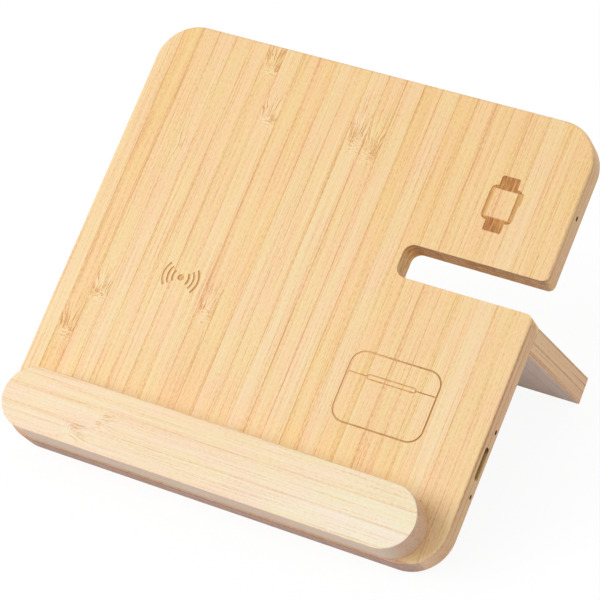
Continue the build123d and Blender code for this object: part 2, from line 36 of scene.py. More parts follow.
# Camera, in metres and degrees
CAMERA_PLACE = (0.3589, -0.64526, 0.52419)
CAMERA_HEADING = 28.927
CAMERA_PITCH = 32.762
CAMERA_ROLL = 0.153
CAMERA_LENS = 163.545
CAMERA_SENSOR = 36.0

# Softboxes, in metres and watts: place, side and power
SOFTBOXES = {
    "key_box": ((-1.4, -1.34, 1.32), 1.4, 26.8),
    "top_box": ((-0.3, -1.35, 1.65), 1.6, 7.3),
    "side_box": ((1.7, 0.25, 0.35), 0.8, 4.0),
    "back_box": ((-0.3, 1.8, 1.1), 1.2, 9.0),
}
SOFTBOX_AIM = (0.0, 0.0, 0.05)
WORLD_LIGHT = 0.40

# Floor: white to the camera and to reflections, duller to the light that it throws back
FLOOR_HALF = 6.0
FLOOR_SEEN = (0.10, 0.10, 0.10, 1.0)
FLOOR_THROWN = (0.74, 0.73, 0.90, 1.0)
FLOOR_GLOW = 0.92
FLOOR_ROUGHNESS = 0.9
PAPER_NOISE = (3.0, 0.5, 0.0, 90.0)
PAPER_DARKEST = 0.995

# Bamboo strips, in millimetres
STRIP_PITCH = 6.42
LEDGE_STRIP_PITCH = 7.1
STRIP_SHIFT = 0.05
JOINT_WIDTH = 0.24

# Node marks, each within one strip: across, along, half width, half height, strength, side of the brown spot
BOARD_MARKS = (
    (42.6, 144.5, 3.0, 6.0, 1.0, 1.0),
    (48.2, 127.0, 2.9, 6.0, 0.9, 1.0),
    (80.6, 127.5, 3.0, 9.0, 0.8, -1.0),
    (86.6, 125.0, 3.1, 8.0, 0.9, 1.0),
    (23.6, 109.5, 2.6, 4.5, 0.45, -1.0),
    (54.8, 58.0, 3.0, 7.0, 0.75, 1.0),
    (16.6, 54.0, 3.0, 5.5, 0.9, -1.0),
    (10.2, 39.0, 2.9, 6.5, 0.8, 1.0),
)
LEDGE_MARKS = (
    (10.6, 37.0, 2.4, 3.6, 0.72, 1.0),
    (15.8, 28.5, 2.8, 4.6, 0.80, -1.0),
)
LEG_MARKS = (
    (35.0, 22.0, 3.0, 6.0, 0.8, 1.0),
    (118.0, 48.0, 3.0, 6.5, 0.8, -1.0),
)
COVER_MARKS = (
    (60.5, 84.0, 3.0, 6.0, 0.8, 1.0),
    (29.0, 124.0, 2.9, 5.5, 0.7, -1.0),
    (111.0, 44.0, 3.0, 6.5, 0.7, 1.0),
)

# Signs burnt into the face: middle across and up, half width and half height of the area around each
WAVES_AREA = (41.6, 66.4, 8.5, 7.0)
WATCH_AREA = (136.3, 119.4, 7.5, 12.0)
CASE_AREA = (124.3, 49.1, 17.5, 14.0)
CASE_BAR_AREA = (124.3, 53.4, 9.2, 1.2)
SIGN_AREAS = (WAVES_AREA, WATCH_AREA, CASE_AREA)
SIGN_DEPTH_LIMIT = 0.3
BURN_DEPTHS = (0.03, 0.2)
BURN_STRENGTH = 0.95
# The straps of the watch sign are burnt darker. They begin this far above and below its middle.
STRAP_START = 5.0
# The case sign is burnt deeper towards its right and low sides, and faintest at its left side
DEEP_ACROSS = (112.0, 136.0)
DEEP_UP = (38.5, 44.0)
DEEP_LOW_STRENGTH = 0.8
FAINT_ACROSS = (109.0, 115.0)
FAINT_LOSS = 0.28

# The strap slot on the face: middle across and up, half width and half height, and how deep its shade grows
SLOT_AREA = (136.0, 92.5, 26.0, 8.0)
SLOT_DEPTHS = (1.0, 7.0)
# What lies further across the board than this belongs to its right edge
RIGHT_EDGE_START = 150.0
# The opening for the plug in the right edge: middle up and out of the face, half length and half height
PORT_AREA = (38.75, -4.75, 5.9, 2.1)
# Painted shade in the opening: darker deeper in than this rim, and above this upper end
PORT_RIM = (158.5, 159.7)
PORT_UPPER_END = (42.2, 44.0)
# Drilled holes of the indicator lights in the right edge: up, and out of the face
LIGHT_PLACES = ((28.1, -6.5), (49.9, -6.5), (122.7, -4.0))
# The distances from a hole's middle between which its painted shade, dark brown on the hole's walls and a thin
# ring round it, fades out
LIGHT_HOLE_SHADE_REACH = (0.74, 0.95)
# The face below the ledge and at its left end, and the low end of the board, which lie in shade and are darkened
# by painted shade
EDGE_ROUND = 0.8
RIM_UP = (1.0, 1.9)
RIM_CORNER = (6.0, 3.6, 6.2, 3.8)
LOW_WALL_UP = (3.0, 12.0)

# How side walls, ends and the back are told by their normal in the grain frame
WALL_FACING = (0.55, 0.95)
END_FACING = (0.72, 0.95)
LEDGE_END_FACING = (0.3, 0.8)
BACK_FACING = (-0.7, -0.3)
SQUARE_FACING = 0.5

# Streaks along the fibres: cells a millimetre across and along, then the noise's detail and roughness
BROAD_STREAKS = (0.16, 0.008, 2.0)
MEDIUM_STREAKS = (0.70, 0.008, 3.0)
FINE_STREAKS = (2.2, 0.012, 3.0, 0.65)
BUNDLE_STREAKS = (4.2, 0.026, 2.0, 0.6)
STRAP_STREAKS = (2.6, 0.14, 3.0, 0.7)
BUNDLE_RANGE = (0.48, 0.66)
STRAP_RANGE = (0.40, 0.60)
# The most cells that chance moves the streaks of a strip by, across and along
STRIP_OFFSETS = (53.0, 31.0)
# Added to a seed for a second set of chances
OTHER_SEED = 500.0

# Other noise in the wood: cells a millimetre across, along and out of the face, then detail and roughness
WOBBLE_NOISE = ((0.45, 0.35, 1.0), 3.0)
FLECK_NOISE = ((1.6, 0.75, 1.0), 4.0, 0.7)
HUE_NOISE = ((0.16, 0.05, 0.1), 3.0)
HUE_RANGE = (0.36, 0.64)
WALL_NOISE = ((0.0, 0.006, 1.3), 3.0, 0.55)
WALL_RANGE = (0.48, 0.62)
CUT_NOISE = ((0.22, 0.22, 1.1), 4.0, 0.7)
CUT_RANGE = (0.44, 0.57)
SCORCH_NOISE = ((0.45, 0.3, 0.0), 3.0, 0.6)

# How far each measure moves the tone of the wood, which runs from 0 where fibre is dense to 1 where loose
MEAN_TONE = 0.655
STRIP_TONE = 0.07
BROAD_TONE = 0.13
MEDIUM_TONE = 0.42
FINE_TONE = 0.92
FLECK_TONE = 0.95
BUNDLE_TONE = -0.25
CROWD_TONE = -0.28
JOINT_TONE = -0.42
WALL_TONE = 0.22

# Fibres crowd towards the sides of a strip. Each pair is the least value and the most that is added to it.
CROWD_WIDTH = (0.40, 1.1)
CROWD_RIGHT = (0.25, 0.75)
CROWD_BY_MEDIUM = (0.25, 1.5)
CROWD_LEFT_POWER = 1.6
CROWD_RIGHT_POWER = 1.4
# Glue joints between strips fade in and out along them
JOINT_FADE_CELLS = 0.03
JOINT_FADE_DETAIL = 2.0
JOINT_FADE_RANGE = (0.40, 0.62)
JOINT_FAINTEST = 0.15

# How node marks and grain waver, in millimetres between the two extremes
MARK_SWAY = 3.4
GRAIN_SWAY = 0.5
MARK_SWAY_SHARE_ACROSS = 0.5
RIPPLE_SWAY_SHARE = 0.35
# Shapes in a node mark, in shares of its half width or half height
MARK_WIDTH_SHARE = 1.3
MARK_EDGE_POWER = 4.0
MARK_BEND = 1.2
FAN_START_SHARES = (-0.25, 0.2)
FAN_HEIGHT_SHARE = 1.25
PATCH_WIDTH_SHARE = 0.8
PATCH_HEIGHT_SHARE = 0.34
PATCH_DROP_SHARE = 0.25
SPOT_WIDTH_SHARE = 0.42
SPOT_HEIGHT_SHARE = 0.33
SPOT_ASIDE_SHARE = 0.55
SPOT_DROP_SHARE = 0.05
# Strip numbers that differ by less than this are the same strip
SAME_STRIP = 0.5
# Lines that fan out above a node, ripples in the pale patch at it, and the brown spot: noise and tone
MARK_LINE_NOISE = ((2.1, 0.11, 1.0), 3.0, 0.6)
DARK_LINE_RANGE = (0.50, 0.60)
PALE_LINE_RANGE = (0.40, 0.50)
RIPPLE_NOISE = ((0.55, 1.7, 1.0), 2.0, 0.6)
RIPPLE_RANGE = (0.46, 0.60)
DARK_LINE_TONE = -0.85
PALE_LINE_TONE = 0.30
PATCH_TONE = 0.45
RIPPLE_TONE = -0.80
SPOT_LINE_TONE = 1.1
SPOT_BASE_TONE = -0.05

# Dots in the end grain, where fibre bundles are cut across: cells a millimetre, and shares of a cell
DOT_CELLS = 2.6
DOT_RANDOMNESS = 0.85
DOT_RADIUS = 0.20
DOT_RADIUS_GROWTH = 0.16
DOT_EDGE = 0.16
# How far each measure darkens the end grain, and the sum at which it is darkest
DOT_END_TONE = 0.50
BROAD_END_TONE = 0.3
FLECK_END_TONE = 0.8
DARKEST_END_TONE = 1.1

# Tone of the routed slot's walls, from 0, dark, to 1, pale
CUT_STREAK_TONE = 0.65
CUT_DEEP_TONE = 0.30
CUT_WALL_TONE = 0.15
# Tone of the burnt signs, from 0, pale, to 1, dark
CHAR_MEAN_TONE = 0.45
CHAR_SCORCH_TONE = 1.2
CHAR_FINE_TONE = -2.2
CHAR_MEDIUM_TONE = -1.2

# Sheen and relief of sanded and oiled bamboo, the relief in metres
WOOD_ROUGHNESS = 0.50
WOOD_ROUGHNESS_GAIN = 0.12
WOOD_SPECULAR = 0.35
WOOD_RELIEF = 0.00006
WOOD_RELIEF_STRENGTH = 0.5
FINE_HEIGHT = 0.5
BUNDLE_HEIGHT = -0.35
JOINT_HEIGHT = -0.5
PATCH_HEIGHT = 0.35
DOT_HEIGHT = -0.8

# Metals and plastics. Noise is given as detail, roughness, distortion and scale, and relief in metres.
PLAIN_CELLS = (2.0, 2.0, 2.0)
PLAIN_RELIEF = 0.00001
PLAIN_RELIEF_STRENGTH = 0.4
PLAIN_COARSE_NOISE = (3.0, 0.55)
PLAIN_COARSE_RANGE = (0.35, 0.68)
PLAIN_FINE_NOISE = (5.0, 0.6, 0.0, 4.0)
PLAIN_ROUGHNESS_SPREAD = 0.16

# Coil windings: the wire's pitch in millimetres, and its relief in metres
WIRE_PITCH = 0.9
WIRE_GAP_SHARE = 0.55
WIRE_STAIN_DETAIL = 3.0
WIRE_STAIN_RANGE = (0.35, 0.7)
WIRE_ROUGHNESS = 0.24
WIRE_ROUGHNESS_GAIN = 0.18
WIRE_METALLIC = 0.9
WIRE_RELIEF = 0.00012
WIRE_RELIEF_STRENGTH = 0.8

# Light pipes, coloured dark brown as painted shade so that the holes read dark
PIPE_CELLS = (1.0, 1.0, 1.0)
PIPE_FROST_NOISE = (4.0, 0.6, 0.0, 6.0)
PIPE_FROST_RANGE = (0.2, 0.8)
PIPE_ROUGHNESS = (0.30, 0.50)
PIPE_IOR = 1.49
PIPE_SPECULAR = 0.15
PIPE_RELIEF = 0.00001
PIPE_RELIEF_STRENGTH = 0.3


# A level from 0 to 255 as a share of full light, by the sRGB curve
def linear(level):
    share = level / 255.0
    return share / 12.92 if share <= 0.04045 else ((share + 0.055) / 1.055) ** 2.4


def colour(red, green, blue):
    return (linear(red), linear(green), linear(blue), 1.0)


# Wood, from dense to loose fibre
BOARD_COLOURS = (colour(218, 160, 104), colour(252, 219, 172), colour(255, 241, 208))
LEDGE_COLOURS = (colour(231, 197, 152), colour(252, 237, 210), colour(255, 254, 248))
# The leg's colours are greyed towards mauve, painted cool shade for its inner face
LEG_SHADED_COLOURS = (colour(208, 172, 148), colour(253, 232, 216), colour(255, 246, 236))
COVER_COLOURS = (colour(206, 150, 94), colour(242, 205, 152), colour(252, 228, 186))
END_PALE = colour(238, 206, 170)
END_DARK = colour(170, 122, 86)

# Tints that the colour of the wood is multiplied by
NO_TINT = colour(255, 255, 255)
YELLOW_TINT = colour(253, 254, 242)
PINK_TINT = colour(255, 250, 247)
WARM_STRIP_TINT = colour(255, 249, 236)
PALE_STRIP_TINT = colour(255, 254, 254)
HIGH_BOARD_TINT = colour(253, 248, 238)
LEFT_LEDGE_TINT = colour(255, 244, 235)
WALL_TINT = colour(237, 220, 203)
# Painted shade: the ledge's long walls are tinted darker than its face
LEDGE_WALL_SHADE_TINT = colour(240, 228, 214)
# The leg's end walls and back are tinted back towards golden bamboo, out of the painted shade in its colours
LEG_WALL_TINT = colour(248, 224, 182)
LEG_BACK_TINT = colour(255, 240, 212)
LEDGE_END_TINT = colour(248, 243, 238)
# Painted shade: darker, cooler tints for the rim of the face round the ledge and for the board's low end
RIM_SHADE_TINT = colour(220, 208, 218)
LOW_WALL_SHADE_TINT = colour(229, 225, 231)
ROUTED_DARK_TINT = colour(206, 186, 152)
ROUTED_PALE_TINT = colour(255, 255, 250)
# Tints of the plug's opening: brown charring with painted shade deeper in, and the pale rim
PORT_CHAR_AND_SHADE_TINT = colour(158, 126, 96)
PORT_PALE_TINT = colour(255, 254, 222)

# Burnt signs and their tints, the side walls of the slot in an orange that carries painted bounce light, and the
# painted shade of the light holes
BURNT = colour(240, 194, 126)
BURNT_DEEP = colour(206, 150, 86)
DEEP_BURN_TINT = colour(227, 218, 194)
STRAP_PALE_TINT = colour(244, 222, 194)
STRAP_DARK_TINT = colour(190, 158, 134)
ROUTED_SIDE_BOUNCE_DARK = colour(206, 142, 78)
ROUTED_SIDE_BOUNCE_PALE = colour(255, 222, 150)
LIGHT_HOLE_SHADE = colour(124, 82, 50)

# Copper windings and light pipes
COPPER_GAP = colour(120, 58, 28)
COPPER_DARK = colour(196, 112, 62)
COPPER_BRIGHT = colour(222, 140, 84)
PIPE_SHADE_DARK = colour(78, 50, 30)
PIPE_SHADE_PALE = colour(112, 74, 46)


# Frames that the grain follows: across, along the fibres, and out of the face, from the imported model
def face_axes():
    face = next(mount for mount in record["mounts"] if mount["name"] == "phone_face")
    across = Vector((1, 0, 0))
    out = Vector(face["axis"]).normalized()
    return across, out.cross(across), out


def lowest(name, direction):
    return min(direction.dot(vertex.co) for vertex in nodes[name].data.vertices)


def highest(name, direction):
    return max(direction.dot(vertex.co) for vertex in nodes[name].data.vertices)


def grain_frame(name, across, along, out):
    place = across * lowest(name, across) + along * lowest(name, along) + out * highest(name, out)
    turn = Matrix((across, along, out))
    return turn, -(turn @ place) * MM


ACROSS, UP_SLOPE, OUT = face_axes()
LEG_TURN = Matrix.Rotation(math.radians(frame["joints"][0]["range_deg"][1]), 3, ACROSS)
BOARD_FRAME = grain_frame("panel_board", ACROSS, UP_SLOPE, OUT)
LEDGE_FRAME = grain_frame("ledge_bar", -UP_SLOPE, ACROSS, OUT)
LEG_FRAME = grain_frame("leg_board", ACROSS, LEG_TURN @ UP_SLOPE, LEG_TURN @ OUT)


class Graph:
    """Short calls that add nodes to one node tree."""

    def __init__(self, tree):
        self.tree = tree

    def put(self, socket, value):
        if isinstance(value, bpy.types.NodeSocket):
            self.tree.links.new(value, socket)
        else:
            socket.default_value = value

    def node(self, kind, inputs, output=0, **settings):
        made = self.tree.nodes.new("ShaderNode" + kind)
        for name, value in settings.items():
            setattr(made, name, value)
        for key, value in inputs.items():
            self.put(made.inputs[key], value)
        return made.outputs[output]

    def math(self, operation, *values):
        return self.node("Math", dict(enumerate(values)), operation=operation)

    def add(self, *values):
        total = values[0]
        for value in values[1:]:
            total = self.math("ADD", total, value)
        return total

    def times(self, *values):
        total = values[0]
        for value in values[1:]:
            total = self.math("MULTIPLY", total, value)
        return total

    def minus(self, first, second):
        return self.math("SUBTRACT", first, second)

    def absolute(self, value):
        return self.math("ABSOLUTE", value)

    def ramp(self, value, low, high, start=0.0, end=1.0):
        inputs = {"Value": value, "From Min": low, "From Max": high, "To Min": start, "To Max": end}
        return self.node("MapRange", inputs, interpolation_type="SMOOTHSTEP")

    def falling_ramp(self, value, low, high):
        return self.ramp(value, low, high, 1.0, 0.0)

    def linear_ramp(self, value, low, high):
        return self.node("MapRange", {"Value": value, "From Min": low, "From Max": high})

    # 1 inside a rectangle given by its middle and half sizes, else 0
    def inside(self, x, y, area):
        middle_x, middle_y, half_x, half_y = area
        within_x = self.math("LESS_THAN", self.absolute(self.minus(x, middle_x)), half_x)
        within_y = self.math("LESS_THAN", self.absolute(self.minus(y, middle_y)), half_y)
        return self.times(within_x, within_y)

    def mix(self, factor, first, second, blend="MIX"):
        inputs = {0: factor, 6: first, 7: second}
        return self.node("Mix", inputs, output=2, data_type="RGBA", blend_type=blend)

    def tint(self, factor, shade, tint):
        return self.mix(factor, shade, tint, "MULTIPLY")

    def combine(self, x, y, z):
        return self.node("CombineXYZ", {0: x, 1: y, 2: z})

    def split(self, vector):
        made = self.tree.nodes.new("ShaderNodeSeparateXYZ")
        self.put(made.inputs[0], vector)
        return made.outputs[0], made.outputs[1], made.outputs[2]

    def noise(self, vector, detail=2.0, roughness=0.5, distortion=0.0, scale=1.0):
        inputs = {
            "Vector": vector, "Scale": scale, "Detail": detail,
            "Roughness": roughness, "Distortion": distortion,
        }
        return self.node("TexNoise", inputs)

    def local(self, output="Object"):
        made = self.tree.nodes.new("ShaderNodeTexCoord")
        return made.outputs[output]

    # The object's own coordinates, scaled to so many cells a millimetre along each axis
    def in_cells(self, cells):
        scale = [MM * count for count in cells]
        return self.node("Mapping", {"Vector": self.local(), "Scale": scale})

    # The object's own coordinates or its normal, turned into a grain frame
    def in_frame(self, grain, output="Object"):
        turn, shift = grain
        is_point = output == "Object"
        inputs = {"Vector": self.local(output), "Rotation": turn.to_euler("XYZ")}
        if is_point:
            inputs["Location"] = shift
            inputs["Scale"] = (MM, MM, MM)
        return self.node("Mapping", inputs, vector_type="POINT" if is_point else "NORMAL")

    def bump(self, height, distance, strength):
        return self.node("Bump", {"Height": height, "Distance": distance, "Strength": strength})

    # 1 for rays from the camera, a reflection or glass, else 0
    def seen_rays(self):
        paths = self.tree.nodes.new("ShaderNodeLightPath")
        seen = paths.outputs["Is Camera Ray"]
        for name in ("Is Glossy Ray", "Is Transmission Ray"):
            seen = self.math("MAXIMUM", seen, paths.outputs[name])
        return seen


class Surface(Graph):
    """The nodes of one material."""

    def __init__(self, name):
        self.material = bpy.data.materials.new(name)
        self.material.use_nodes = True
        super().__init__(self.material.node_tree)
        self.shader = self.tree.nodes["Principled BSDF"]

    def finished(self, inputs):
        for name, value in inputs.items():
            self.put(self.shader.inputs[name], value)
        return self.material


@dataclass
class Finish:
    """What sets one bamboo piece apart from the others."""

    grain: tuple
    colours: tuple
    marks: tuple
    seed: float
    pitch: float = STRIP_PITCH
    # Strengths of the streaks, of the glue joints on the face and on the ends, and of lines on the walls
    streaks: float = 1.0
    joints: float = 1.0
    end_joints: float = 0.35
    wall_lines: float = 0.5
    end_facing: tuple = END_FACING
    wall_tint: tuple = WALL_TINT
    end_tint: tuple = NO_TINT
    back_tint: tuple = NO_TINT
    # The tint drifts slowly along the fibres: from where to where, and from which tint to which
    drift: tuple = (0.0, 1.0)
    drift_tints: tuple = (NO_TINT, NO_TINT)


class Bamboo:
    """Measures of laminated bamboo at a point in its grain frame: strips, streaks and node marks."""

    def __init__(self, graph, finish):
        self.graph = graph
        self.pitch = finish.pitch
        self.u, self.v, self.n = graph.split(graph.in_frame(finish.grain))
        strips = graph.times(graph.add(self.u, STRIP_SHIFT), 1.0 / self.pitch)
        self.index = graph.math("FLOOR", strips)
        self.across_strip = graph.math("FRACT", strips)
        self.chance = self.strip_chances(finish.seed)
        self.other_chance = self.strip_chances(finish.seed + OTHER_SEED)
        self.bends = 0.0
        self.fan = 0.0
        self.patch = 0.0
        self.spot = 0.0
        wobble = graph.minus(self.speckle(*WOBBLE_NOISE), 0.5)
        self.sway = graph.times(wobble, MARK_SWAY)
        for mark in finish.marks:
            self.add_mark(*mark)
        self.bends = graph.add(self.bends, graph.times(wobble, GRAIN_SWAY))

    # Three numbers from 0 to 1 that a strip keeps along its whole length
    def strip_chances(self, seed):
        place = {"W": self.graph.add(self.index, seed)}
        return self.graph.split(self.graph.node("TexWhiteNoise", place, output=1, noise_dimensions="1D"))

    def speckle(self, cells, detail, roughness=0.5, u=None, v=None):
        graph = self.graph
        across = graph.times(self.u if u is None else u, cells[0])
        along = graph.times(self.v if v is None else v, cells[1])
        return graph.noise(graph.combine(across, along, graph.times(self.n, cells[2])), detail, roughness)

    def streaks(self, across, along, detail, roughness=0.5):
        graph = self.graph
        offset_across, offset_along = STRIP_OFFSETS
        bent = graph.add(self.u, self.bends)
        place = graph.combine(
            graph.add(graph.times(bent, across), graph.times(self.chance[1], offset_across)),
            graph.add(graph.times(self.v, along), graph.times(self.chance[2], offset_along)),
            graph.times(self.n, across))
        return graph.noise(place, detail, roughness)

    def centred(self, value, share):
        return self.graph.times(self.graph.minus(value, 0.5), share)

    def hump(self, value, half_width, power=2.0):
        graph = self.graph
        scaled = graph.absolute(graph.times(value, 1.0 / half_width))
        return graph.math("EXPONENT", graph.times(graph.math("POWER", scaled, power), -1.0))

    # Fibres draw together above a node, cross a rippled pale patch, and leave a brown spot on one side
    def add_mark(self, centre_u, centre_v, half_width, half_height, strength, side):
        graph = self.graph
        across = graph.add(graph.minus(self.u, centre_u), graph.times(self.sway, MARK_SWAY_SHARE_ACROSS))
        along = graph.add(graph.minus(self.v, centre_v), self.sway)
        strip = float(math.floor((centre_u + STRIP_SHIFT) / self.pitch))
        within = graph.times(
            graph.math("COMPARE", self.index, strip, SAME_STRIP),
            self.hump(across, MARK_WIDTH_SHARE * half_width, MARK_EDGE_POWER))
        reach = graph.times(within, self.hump(along, half_height))
        self.bends = graph.add(self.bends, graph.times(reach, across, MARK_BEND * strength))

        above = graph.ramp(graph.times(along, 1.0 / half_height), *FAN_START_SHARES)
        fan = graph.times(within, self.hump(along, FAN_HEIGHT_SHARE * half_height), above)
        self.fan = graph.add(self.fan, graph.times(fan, strength))

        lower = graph.add(along, PATCH_DROP_SHARE * half_height)
        patch = graph.times(
            within, self.hump(across, PATCH_WIDTH_SHARE * half_width),
            self.hump(lower, PATCH_HEIGHT_SHARE * half_height))
        self.patch = graph.add(self.patch, graph.times(patch, strength))

        beside = graph.add(across, -SPOT_ASIDE_SHARE * side * half_width)
        lower = graph.add(along, SPOT_DROP_SHARE * half_height)
        spot = graph.times(
            within, self.hump(beside, SPOT_WIDTH_SHARE * half_width),
            self.hump(lower, SPOT_HEIGHT_SHARE * half_height))
        self.spot = graph.add(self.spot, graph.times(spot, strength))

    def mark_tone(self):
        graph = self.graph
        lines = self.speckle(*MARK_LINE_NOISE, u=graph.add(self.u, self.bends))
        wavering = graph.add(self.v, graph.times(self.sway, RIPPLE_SWAY_SHARE))
        ripples = graph.ramp(self.speckle(*RIPPLE_NOISE, v=wavering), *RIPPLE_RANGE)
        spot_tone = graph.add(graph.times(lines, SPOT_LINE_TONE), SPOT_BASE_TONE)
        return graph.add(
            graph.times(self.fan, graph.ramp(lines, *DARK_LINE_RANGE), DARK_LINE_TONE),
            graph.times(self.fan, graph.falling_ramp(lines, *PALE_LINE_RANGE), PALE_LINE_TONE),
            graph.times(self.patch, PATCH_TONE),
            graph.times(self.patch, ripples, RIPPLE_TONE),
            graph.times(self.spot, spot_tone, -1.0))

    # 1 at a side of the strip, falling off over the width
    def near_side(self, distance, width):
        graph = self.graph
        return graph.math("EXPONENT", graph.times(graph.math("DIVIDE", distance, width), -1.0))

    # Fibres crowd towards one or both sides of each strip, by an uneven share
    def dense_sides(self):
        graph = self.graph
        least_width, added_width = CROWD_WIDTH
        least_right, added_right = CROWD_RIGHT
        from_left = graph.times(self.across_strip, self.pitch)
        from_right = graph.minus(self.pitch, from_left)
        width = graph.add(least_width, graph.times(self.other_chance[0], added_width))
        left_share = graph.math("POWER", self.other_chance[1], CROWD_LEFT_POWER)
        right_chance = graph.math("POWER", self.other_chance[2], CROWD_RIGHT_POWER)
        right_share = graph.add(least_right, graph.times(right_chance, added_right))
        return graph.add(
            graph.times(self.near_side(from_left, width), left_share),
            graph.times(self.near_side(from_right, width), right_share))

    # The glue line between two strips
    def joint(self):
        graph = self.graph
        from_side = graph.minus(0.5, graph.absolute(graph.minus(self.across_strip, 0.5)))
        line = graph.falling_ramp(graph.times(from_side, self.pitch), 0.0, JOINT_WIDTH)
        fade_place = graph.combine(self.index, graph.times(self.v, JOINT_FADE_CELLS), 0.0)
        fade = graph.noise(fade_place, JOINT_FADE_DETAIL)
        return graph.times(line, graph.ramp(fade, *JOINT_FADE_RANGE, JOINT_FAINTEST, 1.0))


class BambooSurface(Surface):
    """The material of one bamboo piece."""

    def __init__(self, name, finish):
        super().__init__(name)
        wood = Bamboo(self, finish)
        self.finish = finish
        self.wood = wood
        self.depth = self.times(wood.n, -1.0)
        self.facing = self.split(self.in_frame(finish.grain, "Normal"))
        self.end_share = self.ramp(self.absolute(self.facing[1]), *finish.end_facing)
        self.wall_share = self.ramp(self.absolute(self.facing[0]), *WALL_FACING)
        self.flat_share = self.minus(1.0, self.wall_share)
        self.joint = wood.joint()
        self.broad = wood.streaks(*BROAD_STREAKS)
        self.medium = wood.streaks(*MEDIUM_STREAKS)
        self.fine = wood.streaks(*FINE_STREAKS)
        self.bundles = wood.streaks(*BUNDLE_STREAKS)
        self.flecks = wood.speckle(*FLECK_NOISE)
        self.dots = self.end_dots()
        self.burn = 0.0
        self.shade = self.mix(self.end_share, self.long_grain(), self.end_grain())

    def tone(self):
        wood = self.wood
        streaks = self.finish.streaks
        least_crowd, added_crowd = CROWD_BY_MEDIUM
        crowd = self.times(
            wood.dense_sides(), self.add(least_crowd, self.times(self.medium, added_crowd)))
        wall_lines = self.ramp(wood.speckle(*WALL_NOISE), *WALL_RANGE)
        return self.add(
            MEAN_TONE,
            wood.centred(wood.chance[0], STRIP_TONE),
            wood.centred(self.broad, BROAD_TONE * streaks),
            wood.centred(self.medium, MEDIUM_TONE * streaks),
            wood.centred(self.fine, FINE_TONE * streaks),
            wood.centred(self.flecks, FLECK_TONE * streaks),
            self.times(self.ramp(self.bundles, *BUNDLE_RANGE), BUNDLE_TONE * streaks),
            self.times(crowd, self.flat_share, CROWD_TONE * streaks),
            self.times(self.joint, self.flat_share, JOINT_TONE * self.finish.joints),
            wood.mark_tone(),
            self.times(self.wall_share, wall_lines, -self.finish.wall_lines),
            self.times(self.wall_share, WALL_TONE * self.finish.wall_lines))

    def long_grain(self):
        wood = self.wood
        dark, middle, light = self.finish.colours
        tone = self.tone()
        darker = self.mix(self.linear_ramp(tone, 0.0, 0.5), dark, middle)
        shade = self.mix(self.linear_ramp(tone, 0.5, 1.0), darker, light)
        hue = self.ramp(wood.speckle(*HUE_NOISE), *HUE_RANGE)
        shade = self.tint(1.0, shade, self.mix(hue, YELLOW_TINT, PINK_TINT))
        strip_tint = self.mix(wood.chance[0], WARM_STRIP_TINT, PALE_STRIP_TINT)
        drift_tint = self.mix(self.ramp(wood.v, *self.finish.drift), *self.finish.drift_tints)
        shade = self.tint(self.flat_share, shade, self.tint(1.0, strip_tint, drift_tint))
        shade = self.tint(self.wall_share, shade, self.finish.wall_tint)
        return self.tint(self.falling_ramp(self.facing[2], *BACK_FACING), shade, self.finish.back_tint)

    # Fibre bundles cut across, larger towards one side of each strip
    def end_dots(self):
        wood = self.wood
        place = self.combine(self.times(wood.u, DOT_CELLS), wood.chance[1], self.times(wood.n, DOT_CELLS))
        cells = {"Vector": place, "Scale": 1.0, "Randomness": DOT_RANDOMNESS}
        radius = self.add(self.times(wood.across_strip, DOT_RADIUS_GROWTH), DOT_RADIUS)
        outside = self.minus(self.node("TexVoronoi", cells), radius)
        return self.falling_ramp(outside, 0.0, DOT_EDGE)

    def end_grain(self):
        tone = self.add(
            self.times(self.dots, DOT_END_TONE), self.times(self.joint, self.finish.end_joints),
            self.times(self.broad, BROAD_END_TONE), self.wood.centred(self.flecks, FLECK_END_TONE))
        shade = self.mix(self.ramp(tone, 0.0, DARKEST_END_TONE), END_PALE, END_DARK)
        return self.tint(1.0, shade, self.finish.end_tint)

    # The cutter leaves streaks that run round the slot's walls
    def rout_slot(self):
        wood = self.wood
        upright = self.math("LESS_THAN", self.absolute(self.facing[2]), SQUARE_FACING)
        inside = self.times(
            self.inside(wood.u, wood.v, SLOT_AREA), self.ramp(self.depth, 0.0, EDGE_ROUND), upright)
        streaks = self.ramp(wood.speckle(*CUT_NOISE), *CUT_RANGE)
        sum_of_tones = self.add(
            self.times(streaks, CUT_STREAK_TONE),
            self.times(self.ramp(self.depth, *SLOT_DEPTHS), CUT_DEEP_TONE),
            self.times(self.wall_share, CUT_WALL_TONE))
        tone = self.linear_ramp(sum_of_tones, 0.0, 1.0)
        routed = self.tint(1.0, self.shade, self.mix(tone, ROUTED_DARK_TINT, ROUTED_PALE_TINT))
        # The slot's end walls take a saturated orange: the cutter's streaks with painted bounce light from the
        # face
        routed = self.mix(self.wall_share, routed, self.mix(tone, ROUTED_SIDE_BOUNCE_DARK, ROUTED_SIDE_BOUNCE_PALE))
        self.shade = self.mix(inside, self.shade, routed)

    # The walls of the plug's opening are tinted brown, partly charring from the cutter and partly painted shade
    # that darkens them deeper in and at the upper end, so only the rim stays pale
    def shade_port(self):
        wood = self.wood
        inside = self.times(
            self.inside(wood.v, wood.n, PORT_AREA), self.math("GREATER_THAN", wood.u, RIGHT_EDGE_START),
            self.math("LESS_THAN", self.absolute(self.facing[0]), SQUARE_FACING))
        unshaded_share = self.times(
            self.ramp(wood.u, *PORT_RIM), self.falling_ramp(wood.v, *PORT_UPPER_END))
        self.shade = self.tint(inside, self.shade, self.mix(unshaded_share, PORT_CHAR_AND_SHADE_TINT, PORT_PALE_TINT))

